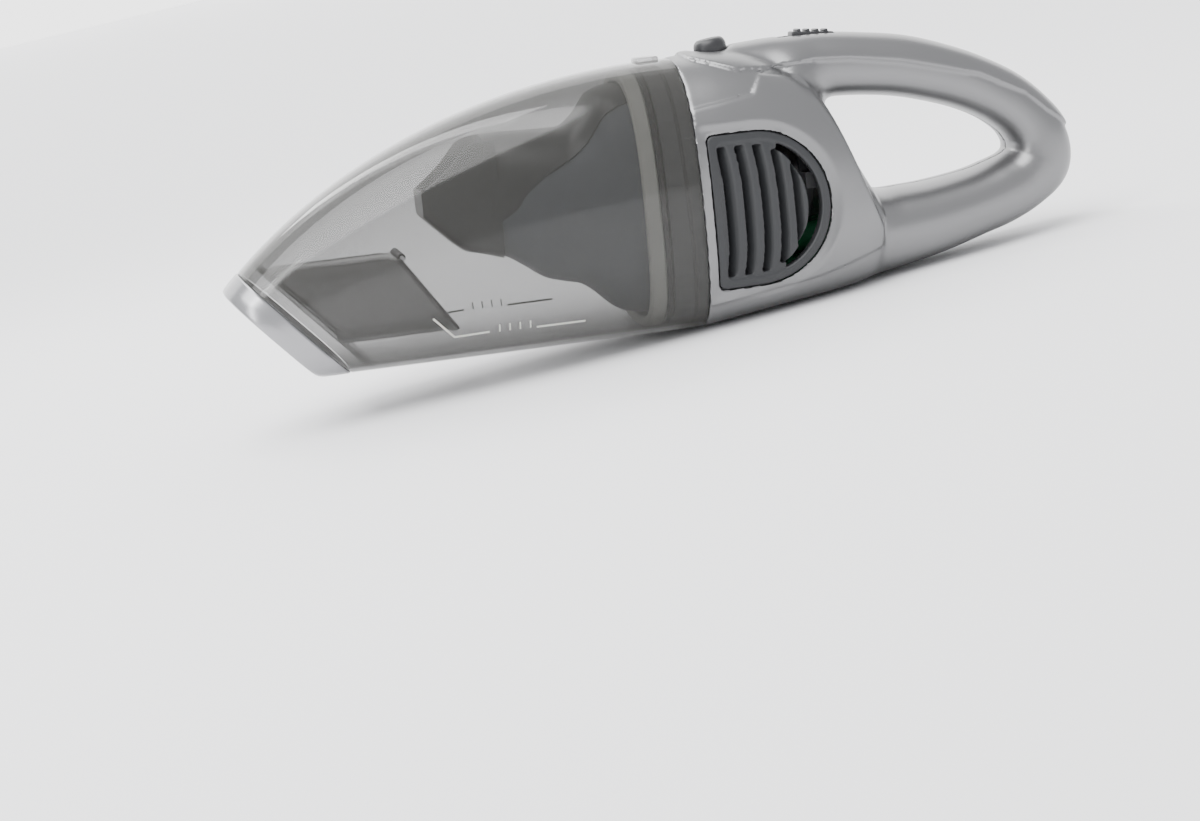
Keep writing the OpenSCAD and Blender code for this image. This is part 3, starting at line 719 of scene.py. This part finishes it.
# ---------- tank details ----------
def tank_side(x, z):
    """Half width of the tank's outside at a point of the intake frame."""
    lo, hi = 0.0, 1.0
    for _ in range(30):
        s = (lo + hi) / 2
        qx, qz = bez(TANK_TOP, T_RIM * s)
        foot = TANK_FLOOR * s
        at = -foot + (foot - qx) * z / qz
        if at > x:
            lo = s
        else:
            hi = s
    t = T_RIM * lo
    qx, qz = bez(TANK_TOP, t)
    h = math.hypot(qx - TANK_FLOOR * lo, qz)
    m = 0.43 - 0.05 * t
    v = z / qz * h
    up = v > m * h
    q = abs(v - m * h) / ((1 - m) * h if up else m * h)
    n = TOP_N if up else LOW_N
    return bez(TANK_W, t) * max(0.0, 1 - q ** n) ** (1 / n)


def mark_line(path, width=0.9, lift=0.12, side=-1):
    """A thin printed line on the tank's side, along a path of the intake frame."""
    rows = []
    path = np.array(path, float)
    for i, (x, z) in enumerate(path):
        d = path[min(i + 1, len(path) - 1)] - path[max(i - 1, 0)]
        d = d / max(np.linalg.norm(d), 1e-9)
        n = np.array([-d[1], d[0]]) * width / 2
        row = []
        for k in (-1, 1):
            px, pz = x + k * n[0], z + k * n[1]
            rx, rz = to_row(px, pz)
            row.append((rx, side * (tank_side(px, pz) + lift), rz))
        rows.append(row)
    points = [p for row in rows for p in row]
    faces = [(2 * i, 2 * i + 1, 2 * i + 3, 2 * i + 2) for i in range(len(rows) - 1)]
    return points, faces


def dense(path, gap=1.0):
    """A path with points about a gap apart."""
    out = []
    for a, b in zip(path[:-1], path[1:]):
        n = max(2, int(math.dist(a, b) / gap))
        out += [tuple(np.array(a) + (np.array(b) - np.array(a)) * i / n) for i in range(n)]
    return out + [path[-1]]


def arc_rib(x, inset, depth, thick, first, last, count=112):
    """Points and faces of a rib on the inside of the tank, over part of its section."""
    def ring(at, grow):
        s = -at / TANK_FLOOR
        return tank_ring(TANK_FLOOR * s, T_RIM * s, grow, count)
    loops = [ring(x, inset), ring(x, inset + depth), ring(x - thick, inset + depth), ring(x - thick, inset)]
    ids = [k % count for k in range(first, last + 1)]
    points, faces = [], []
    for k in ids:
        points += [loops[j][k] for j in range(4)]
    for i in range(len(ids) - 1):
        for j in range(4):
            a, b = 4 * i + j, 4 * i + (j + 1) % 4
            faces.append((a, b, b + 4, a + 4))
    faces.append((3, 2, 1, 0))
    last_row = 4 * (len(ids) - 1)
    faces.append(tuple(last_row + j for j in range(4)))
    return points, faces


def gather(name, parts, smooth=True):
    """One mesh from several (points, faces) lists."""
    points, faces = [], []
    for p, f in parts:
        base = len(points)
        points += p
        faces += [tuple(base + i for i in face) for face in f]
    return mesh_piece(name, points, faces, smooth)


def roof_place(lx, lz):
    """A point of the sloping roof under the slider, in the row frame."""
    c, s = math.cos(ROOF_SLOPE), math.sin(ROOF_SLOPE)
    return ROOF_X + lx * c + lz * s, ROOF_Z - lx * s + lz * c


def turned(name, profile, place, count=64):
    """A turned piece from (radius, height) pairs, upright at a place."""
    rings = []
    for r, z in profile:
        ring = []
        for k in range(count):
            a = 2 * math.pi * k / count
            ring.append((place[0] + r * math.cos(a), place[1] + r * math.sin(a), place[2] + z))
        rings.append(ring)
    points, faces = skin(rings, True, True)
    obj = mesh_piece(name, points, faces)
    outward(obj)
    return obj


# ---------- operators ----------
class HandVacuumProps(bpy.types.PropertyGroup):
    shell_color: bpy.props.FloatVectorProperty(
        name="Shell colour", description="Satin paint of the two housing shells",
        subtype="COLOR", size=3, default=(0.205, 0.205, 0.208), min=0, max=1)
    tank_color: bpy.props.FloatVectorProperty(
        name="Tank colour", description="Tint of the smoked clear tank",
        subtype="COLOR", size=3, default=(0.044, 0.043, 0.039), min=0, max=1)
    shell_cell: bpy.props.FloatProperty(
        name="Shell cell", description="Cell size of the shells' skin",
        subtype="DISTANCE", unit="LENGTH", default=0.00105, min=0.0008, max=0.003)
    grille_cell: bpy.props.FloatProperty(
        name="Grille cell", description="Cell size of the grilles' skin",
        subtype="DISTANCE", unit="LENGTH", default=0.00065, min=0.0005, max=0.002)
    lens: bpy.props.FloatProperty(
        name="Lens", description="Focal length of the stage camera in millimetres",
        default=72.0, min=20, max=200)


class HANDVAC_OT_shells(bpy.types.Operator):
    """Build the two painted housing shells"""
    bl_idname = "handvac.shells"
    bl_label = "Housing shells"

    def execute(self, context):
        h = context.scene.hand_vacuum.shell_cell / MM
        field, start = body_field(h)
        for name, flip in (("left_shell_skin", False), ("right_shell_skin", True)):
            obj = tidy_skin(skin_field(name, field, start, h, flip))
            finish_piece(obj, "housing", "shell_silver", material("shell_silver"), name.replace("_skin", ""))
        return {"FINISHED"}


class HANDVAC_OT_grilles(bpy.types.Operator):
    """Build the charcoal vent grilles of both sides"""
    bl_idname = "handvac.grilles"
    bl_label = "Vent grilles"

    def execute(self, context):
        h = context.scene.hand_vacuum.grille_cell / MM
        field, start = grille_field(h)
        for name, flip, node in (("left_grille", False, "left_vent_grille"),
                                 ("right_grille", True, "right_vent_grille")):
            obj = tidy_skin(skin_field(name, field, start, h, flip))
            finish_piece(obj, "housing", "vent_charcoal", material("vent_charcoal"), node)
        return {"FINISHED"}


class HANDVAC_OT_tank(bpy.types.Operator):
    """Build the smoked dust tank with its catch, ribs and fill mark"""
    bl_idname = "handvac.tank"
    bl_label = "Dust tank"

    def execute(self, context):
        steps = 44
        outer, inner = [], []
        for i in range(steps + 1):
            s = i / steps
            outer.append(tank_ring(TANK_FLOOR * s, T_RIM * s, 0.0))
            inner.append(tank_ring(TANK_FLOOR * s, T_RIM * s, TANK_T))
        obj = loft_piece("tank_wall", outer + inner[::-1], loop=True)
        finish_piece(obj, "tank", "clear_smoke", material("clear_smoke"), "dust_tank")
        cx, cz = to_row(-10.5, JOINT_H + 0.5)
        catch = block("tank_catch", (11, 14, 2.8), (cx, 0, cz), PITCH, 0.9)
        finish_piece(catch, "tank", "clear_smoke", material("clear_smoke"))
        rib = gather("tank_ribs", [arc_rib(-4.5, 2.25, 1.1, 1.2, 0, 112)])
        outward(rib)
        shade(rib)
        finish_piece(rib, "tank", "clear_smoke", material("clear_smoke"))
        marks = []
        for side in (-1, 1):
            marks.append(mark_line(dense([(-135.5, 25.5), (-126, 15.1), (-109, 15.7)]), side=side))
            marks.append(mark_line(dense([(-86, 15.2), (-62, 15.2)]), side=side))
            marks += [mark_line([(x, 15.2), (x, 18.8)], 0.7, side=side) for x in (-104, -99, -94, -89)]
        mark = gather("fill_mark", marks, False)
        apply_modifier(mark, "SOLIDIFY", thickness=0.1 * MM)
        finish_piece(mark, "tank", "seal_milky", material("seal_milky"))
        return {"FINISHED"}


class HANDVAC_OT_nozzle(bpy.types.Operator):
    """Build the silver nozzle rim, the inlet duct and its rubber flap"""
    bl_idname = "handvac.nozzle"
    bl_label = "Nozzle"

    def execute(self, context):
        run = RIM_DEPTH / math.sin(MOUTH_ANGLE)
        profile = [(0.035, 0.9), (0.06, 0.15), (0.12, -0.35), (0.5, -0.5), (0.86, -0.4),
                   (0.96, 0.1), (1.0, 0.9), (1.0, 2.0), (0.95, 2.7), (0.5, 3.1), (0.05, 3.1), (0.035, 2.6)]
        rings = [tank_ring(TANK_FLOOR + run * f, meet(TANK_FLOOR + run * f), inset) for f, inset in profile]
        obj = loft_piece("nozzle_ring", rings, loop=True, angle=25)
        finish_piece(obj, "tank", "rim_silver", material("rim_silver"), "nozzle_rim")
        self.duct()
        self.flap()
        return {"FINISHED"}

    @staticmethod
    def duct_ring(u, grow, rib=0.0):
        """A ring of the duct at share u from the mouth to its oblique rear end."""
        low, high, half = DUCT_LOW - grow, DUCT_HIGH + grow, DUCT_HALF + grow
        ring = []
        for k in range(240):
            a = 2 * math.pi * (k + 0.5) / 240
            c, s = math.cos(a), math.sin(a)
            y = half * math.copysign(abs(c) ** (2 / 9), c)
            z = (low + high) / 2 + (high - low) / 2 * math.copysign(abs(s) ** (2 / 9), s)
            if rib:
                ridge = 0.0
                if abs(y) > half - 1.5:
                    ridge = max(0.0, math.cos(2 * math.pi * (z - 19.5) / 7.5)) ** 3
                y += math.copysign(rib * ridge, y)
                crest = max(0.0, math.cos(2 * math.pi * y / 8.0)) ** 3 if z > high - 1.2 else 0.0
                z += rib * crest
            front = -(TANK_FLOOR + z / math.tan(MOUTH_ANGLE)) + 12
            rear = DUCT_LOW_X - DUCT_LEAN_RUN * (z - DUCT_LOW) / (DUCT_HIGH - DUCT_LOW)
            x, zz = to_row(front + (rear - front) * u, z)
            ring.append((x, y, zz))
        return ring

    def duct(self):
        """The ribbed inlet duct and the plate that holds it in the mouth."""
        outer = []
        for i in range(61):
            u = i / 60
            outer.append(self.duct_ring(u, 0.6 if i > 56 else 0.0, 1.0 if 4 < i < 57 else 0.0))
        inner = [self.duct_ring(i / 60, -DUCT_T) for i in range(60, -1, -6)]
        obj = loft_piece("duct_tube", outer + inner, loop=True, angle=30)
        finish_piece(obj, "tank", "duct_smoke", material("duct_smoke"), "inlet_duct")
        rings = []
        for back, grow in ((10.0, 2.35), (13.0, 2.35)):
            foot = TANK_FLOOR - back
            rings.append(tank_ring(foot, meet(foot), grow, 96))
        inside = []
        for back in (13.0, 10.0):
            ring = []
            for k in range(96):
                a = 2 * math.pi * k / 96
                c, s = math.cos(a), math.sin(a)
                y = 20.0 * math.copysign(abs(c) ** (2 / 9), c)
                z = 33.8 + 17.0 * math.copysign(abs(s) ** (2 / 9), s)
                x, zz = to_row(-(TANK_FLOOR + z / math.tan(MOUTH_ANGLE)) + back, z)
                ring.append((x, y, zz))
            inside.append(ring)
        plate = loft_piece("duct_plate", rings + inside, loop=True, angle=30)
        finish_piece(plate, "tank", "duct_smoke", material("duct_smoke"))

    def flap(self):
        """The rubber flap that hangs over the duct's oblique rear end."""
        lean = math.atan2(DUCT_LEAN_RUN, DUCT_HIGH - DUCT_LOW)
        x, z = to_row(-121 - 12.5 + 0.5, 15 + 18.8 + 0.5)
        slab = block("flap_leaf", (1.5, 42.0, 45.2), (x, 0, z), PITCH - lean, 0.6)
        hx, hz = to_row(*FLAP_PIN)
        deselect()
        bpy.ops.mesh.primitive_cylinder_add(vertices=32, radius=2 * MM, depth=30 * MM,
                                            location=(hx * MM, 0, hz * MM), rotation=(math.pi / 2, 0, 0))
        roll = bpy.context.object
        settle(roll)
        obj = join("inlet_flap_leaf", [slab, roll])
        shade(obj)
        finish_piece(obj, "flap", "flap_rubber", material("flap_rubber"), "inlet_flap")


class HANDVAC_OT_filter(bpy.types.Operator):
    """Build the filter holder, its cloth, scoop and seal"""
    bl_idname = "handvac.filter"
    bl_label = "Filter"

    CLOTH = [(-21, 10, 124, 45), (-30, 11, 124, 44), (-36, 12.5, 123, 43), (-41, 16, 120.5, 41),
             (-47, 22, 113, 38.5), (-55, 28, 106.5, 36.5), (-64, 30.5, 105.8, 35), (-73, 33.5, 106, 33),
             (-82, 40, 106.4, 30), (-90, 45.5, 106.6, 26.5), (-98, 48.5, 106, 23.5)]
    SCOOP = [(-94, 46.5, 105.8, 25.4), (-101, 48.8, 105.4, 23), (-107, 50.4, 103.5, 21.4),
             (-112, 52, 98.5, 20.2), (-117, 56, 93.5, 19), (-124, 63, 88, 17.4), (-131, 70.5, 83, 15.6)]

    def execute(self, context):
        rows = catmull(self.CLOTH, 5)
        rings = [station_ring((r[0], r[1]), (r[0], r[2]), r[3], 0.5, 0, 96, 2.6, 2.6) for r in rows]
        obj = loft_piece("filter_cone", rings, close=True)
        finish_piece(obj, "filter", "filter_fabric", material("filter_fabric"), "filter_cloth")
        bands = [self.hood(rows, 0.8), self.trough()]
        flange = [plate_ring(g, x) for g, x in ((2.9, -17.2), (2.9, -19.6), (12.0, -19.6), (12.0, -17.2))]
        bands.append(skin(flange, loop=True))
        frame_piece = gather("filter_holder", bands)
        outward(frame_piece)
        shade(frame_piece)
        finish_piece(frame_piece, "filter", "filter_dark", material("filter_dark"), "filter_frame")
        x, z = to_row(-99, 76)
        patch = block("cloth_patch", (3.0, 26, 20), (x, 0, z), PITCH + 0.35, 1.2)
        finish_piece(patch, "filter", "fan_white", material("fan_white"))
        seal = [plate_ring(g, x) for g, x in
                ((4.2, -19.7), (3.4, -20.6), (3.4, -26.8), (4.2, -27.6), (7.6, -27.6), (8.4, -26.8),
                 (8.4, -20.6), (7.8, -19.7))]
        ring = loft_piece("seal_ring", seal, loop=True)
        finish_piece(ring, "filter", "seal_milky", material("seal_milky"), "filter_seal")
        return {"FINISHED"}

    @staticmethod
    def section_at(row, angle, grow, power=2.6):
        """A point of the cone's section at an angle, grown outwards."""
        half, mid, r = row[3] + grow, (row[1] + row[2]) / 2, (row[2] - row[1]) / 2 + grow
        c, s = math.cos(angle), math.sin(angle)
        y = half * math.copysign(abs(c) ** (2 / power), c)
        z = mid + r * math.copysign(abs(s) ** (2 / power), s)
        x, zz = to_row(row[0], z)
        return x, y, zz

    def hood(self, rows, thick):
        """The dark hood over the top of the cone, deep at the scoop and shallow at the flange."""
        points, faces = [], []
        n = 40
        span = [(-100, -24), (-88, -6), (-72, 20), (-55, 38), (-38, 50), (-21, 58)]
        xs = [p[0] for p in span]
        deg = [p[1] for p in span]
        for row in rows:
            low = math.radians(np.interp(row[0], xs, deg))
            angles = np.linspace(low, math.pi - low, n)
            points += [self.section_at(row, a, thick) for a in angles]
            points += [self.section_at(row, a, -0.5) for a in angles[::-1]]
        m = 2 * n
        for i in range(len(rows) - 1):
            for k in range(m):
                j = (k + 1) % m
                faces.append((i * m + k, i * m + j, (i + 1) * m + j, (i + 1) * m + k))
        faces.append(tuple(range(m - 1, -1, -1)))
        faces.append(tuple((len(rows) - 1) * m + k for k in range(m)))
        return points, faces

    def trough(self):
        """The scoop: a boxy trough, open on top and closed at its tip."""
        points, faces = [], []
        rows = catmull(self.SCOOP, 4)
        n = 41
        wall = 1.7
        for inner in (False, True):
            for row in rows:
                x, low, high, half = row
                if inner:
                    x, low, half = x + (wall if x < -130 else 0.0), low + wall, half - wall
                depth = high - low
                for a in np.linspace(math.pi, 2 * math.pi, n):
                    c, s = math.cos(a), math.sin(a)
                    y = half * math.copysign(abs(c) ** (2 / 6.0), c)
                    z = high - depth * abs(s) ** (2 / 6.0)
                    rx, rz = to_row(x, z)
                    points.append((rx, y, rz))
        m = len(rows)
        for i in range(m - 1):
            for k in range(n - 1):
                a, b = i * n + k, (i + 1) * n + k
                faces.append((a, a + 1, b + 1, b))
                c, d = (m + i) * n + k, (m + i + 1) * n + k
                faces.append((d, d + 1, c + 1, c))
            for k in (0, n - 1):
                faces.append((i * n + k, (i + 1) * n + k, (m + i + 1) * n + k, (m + i) * n + k))
        tip, tip_in = (m - 1) * n, (2 * m - 1) * n
        faces.append(tuple(tip + k for k in range(n)))
        faces.append(tuple(tip_in + k for k in range(n - 1, -1, -1)))
        faces.append((tip, tip + n - 1, tip_in + n - 1, tip_in))
        for k in range(n - 1):
            faces.append((k, k + 1, m * n + k + 1, m * n + k))
        return points, faces


class HANDVAC_OT_controls(bpy.types.Operator):
    """Build the release button and the ribbed power slider"""
    bl_idname = "handvac.controls"
    bl_label = "Controls"

    def execute(self, context):
        profile = [(8.2, 126.2), (8.2, 133.2), (8.05, 134.4), (7.6, 135.6), (6.9, 136.5),
                   (6.0, 137.1), (4.6, 137.3), (3.0, 137.1), (1.4, 136.95), (0.01, 136.9)]
        dome = turned("button_dome", profile, (BUTTON_X, 0.0, 0.0), 72)
        shade(dome, 40)
        finish_piece(dome, "button", "button_charcoal", material("button_charcoal"), "release_button")
        x, z = roof_place(3.2, -0.9)
        parts = [block("pad", (22, 9, 6.6), (x, 0, z), ROOF_SLOPE, 0.9)]
        for k in range(4):
            x, z = roof_place(-7.8 + 3 + 0.8 + k * 16 / 3.4, 2.7)
            parts.append(block("rib", (1.7, 8.6, 2.0), (x, 0, z), ROOF_SLOPE - math.radians(20), 0.45))
        slider = join("slider_pad", parts)
        shade(slider)
        finish_piece(slider, "slider", "button_charcoal", material("button_charcoal"), "power_slider")
        return {"FINISHED"}


class HANDVAC_OT_finishes(bpy.types.Operator):
    """Give every CAD piece that stays its own finish"""
    bl_idname = "handvac.finishes"
    bl_label = "Finishes"

    def execute(self, context):
        for part in frame["record"]["subparts"]:
            obj = frame["nodes"][part["node"]]
            mat = material(part["material_slot"])
            for slot in obj.material_slots:
                slot.material = mat
            if not obj.material_slots:
                raise RuntimeError(part["node"] + " has no material slot")
        return {"FINISHED"}


def aim(obj, target):
    """Turn a lamp towards a point."""
    obj.rotation_euler = (Vector(target) - obj.location).to_track_quat("-Z", "Y").to_euler()


def area_light(name, place, target, size, energy, shape_y=None):
    """A rectangular lamp, aimed at a point."""
    data = bpy.data.lights.new(name, "AREA")
    data.energy = energy
    data.size = size
    if shape_y:
        data.shape = "RECTANGLE"
        data.size_y = shape_y
    obj = bpy.data.objects.new(name, data)
    bpy.context.collection.objects.link(obj)
    obj.location = place
    aim(obj, target)
    return obj


class HANDVAC_OT_stage(bpy.types.Operator):
    """Set the plain floor, the soft studio light and the camera"""
    bl_idname = "handvac.stage"
    bl_label = "Stage"

    def execute(self, context):
        deselect()
        bpy.ops.mesh.primitive_plane_add(size=80.0, location=(0, 0, 0))
        floor = bpy.context.object
        floor.name = "studio_floor"
        mat = bpy.data.materials.new("PaleFloor")
        n, _ = nodes_of(mat)
        n["Principled BSDF"].inputs["Base Color"].default_value = (0.86, 0.86, 0.87, 1)
        n["Principled BSDF"].inputs["Roughness"].default_value = 0.9
        n["Principled BSDF"].inputs["Specular IOR Level"].default_value = 0.1
        floor.data.materials.append(mat)
        backdrop = bpy.data.materials.new("WhiteBackdrop")
        n, _ = nodes_of(backdrop)
        n["Principled BSDF"].inputs["Base Color"].default_value = (0, 0, 0, 1)
        n["Principled BSDF"].inputs["Emission Color"].default_value = (1, 1, 1, 1)
        n["Principled BSDF"].inputs["Emission Strength"].default_value = 3.2
        deselect()
        bpy.ops.mesh.primitive_plane_add(size=80.0, location=(0, 30.0, 0), rotation=(math.pi / 2, 0, 0))
        wall = bpy.context.object
        wall.name = "studio_backdrop"
        wall.data.materials.append(backdrop)
        world = bpy.data.worlds.new("StudioWorld")
        context.scene.world = world
        world.use_nodes = True
        world.node_tree.nodes["Background"].inputs["Color"].default_value = (0.97, 0.98, 1.0, 1)
        world.node_tree.nodes["Background"].inputs["Strength"].default_value = 1.15
        sun = bpy.data.lights.new("soft_sun", "SUN")
        sun.energy = 4.6
        sun.angle = math.radians(55)
        lamp = bpy.data.objects.new("soft_sun", sun)
        context.collection.objects.link(lamp)
        lamp.location = (-0.4, -0.35, 1.2)
        aim(lamp, (0, 0, 0))
        area_light("strip_top", (-0.2, 0.35, 0.75), (0.0, 0, 0.1), 0.12, 4.2, 0.9)
        area_light("strip_left", (-0.75, -0.45, 0.4), (-0.1, 0, 0.06), 0.12, 2.4, 0.6)
        self.camera(context)
        return {"FINISHED"}

    @staticmethod
    def camera(context):
        """The camera, slightly left of square on and a little above, rolled nose down."""
        az, el, roll = math.radians(-9.0), math.radians(12.0), math.radians(13.5)
        back = Vector((math.sin(az) * math.cos(el), -math.cos(az) * math.cos(el), math.sin(el)))
        r0 = Vector((math.cos(az), math.sin(az), 0))
        u0 = back.cross(r0)
        right = math.cos(roll) * r0 - math.sin(roll) * u0
        up = math.sin(roll) * r0 + math.cos(roll) * u0
        pin = Vector((6.0, 0.0, 69.5))
        place = (pin + back * CAMERA_BACK - right * CAMERA_RIGHT - up * CAMERA_UP) * MM
        data = bpy.data.cameras.new("stage_camera")
        data.sensor_width = 36.0
        data.lens = context.scene.hand_vacuum.lens
        data.clip_start = 0.05
        obj = bpy.data.objects.new("stage_camera", data)
        context.collection.objects.link(obj)
        obj.matrix_world = Matrix(((right.x, up.x, back.x, place.x), (right.y, up.y, back.y, place.y),
                                   (right.z, up.z, back.z, place.z), (0, 0, 0, 1)))
        context.scene.camera = obj


class HANDVAC_PT_panel(bpy.types.Panel):
    """Lists the pieces of the hand vacuum"""
    bl_label = "Hand vacuum"
    bl_idname = "HANDVAC_PT_panel"
    bl_space_type = "VIEW_3D"
    bl_region_type = "UI"
    bl_category = "Hand vacuum"

    def draw(self, context):
        props = context.scene.hand_vacuum
        for name in HandVacuumProps.__annotations__:
            self.layout.prop(props, name)
        for cls in OPERATORS:
            self.layout.operator(cls.bl_idname)


OPERATORS = (HANDVAC_OT_finishes, HANDVAC_OT_shells, HANDVAC_OT_grilles, HANDVAC_OT_tank,
             HANDVAC_OT_nozzle, HANDVAC_OT_filter, HANDVAC_OT_controls, HANDVAC_OT_stage)
CLASSES = (HandVacuumProps,) + OPERATORS + (HANDVAC_PT_panel,)


def register():
    for cls in CLASSES:
        bpy.utils.register_class(cls)
    bpy.types.Scene.hand_vacuum = bpy.props.PointerProperty(type=HandVacuumProps)


def unregister():
    del bpy.types.Scene.hand_vacuum
    for cls in reversed(CLASSES):
        bpy.utils.unregister_class(cls)


def main():
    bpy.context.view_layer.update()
    register()
    for cls in OPERATORS:
        group, name = cls.bl_idname.split(".")
        getattr(getattr(bpy.ops, group), name)()
    bpy.context.view_layer.update()


if __name__ == "__main__":
    main()
